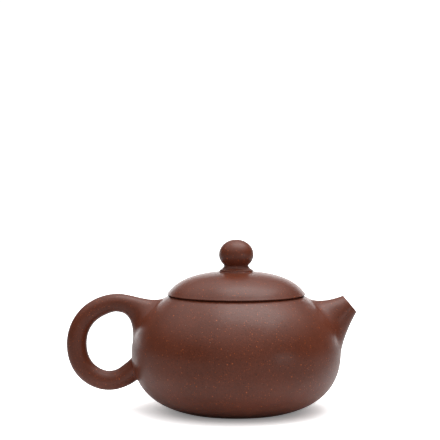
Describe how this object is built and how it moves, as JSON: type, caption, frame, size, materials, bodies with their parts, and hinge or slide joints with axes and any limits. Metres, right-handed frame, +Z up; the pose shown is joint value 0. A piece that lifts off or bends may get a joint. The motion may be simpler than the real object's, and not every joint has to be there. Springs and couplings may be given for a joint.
{
  "type": "clay teapot",
  "caption": "Low round unglazed purple clay teapot with a short tapered spout, a ring handle and a domed lid with a ball knob that lifts off.",
  "frame": {"origin": "middle of the foot ring's flat face, where the pot stands on a table", "axes": "+Z up along the pot's and the lid's axis, +X towards the spout, -X towards the handle, +Y to the left when looking along the spout"},
  "size_m": [0.1363, 0.0984, 0.0802],
  "materials": {
    "burnished_clay": "unglazed, burnished to a soft sheen, with fine sand and orange specks",
    "plain_clay": "unglazed and unburnished, matt, with fine sand"
  },
  "bodies": {
    "pot": {"belly_wall": "burnished_clay", "shoulder_disc": "burnished_clay", "base_disc": "plain_clay", "mouth_ring": "plain_clay", "spout": "burnished_clay", "spout_strainer": "plain_clay", "handle": "burnished_clay"},
    "lid": {"lid_dome": "burnished_clay", "lid_board": "plain_clay", "lid_flange": "plain_clay", "knob_collar": "burnished_clay", "knob": "burnished_clay"}
  },
  "joints": [
    {"name": "lid_lift", "type": "slide", "parent": "pot", "child": "lid", "axis": [0, 0, 1], "range_m": [0, 0.06]}
  ]
}
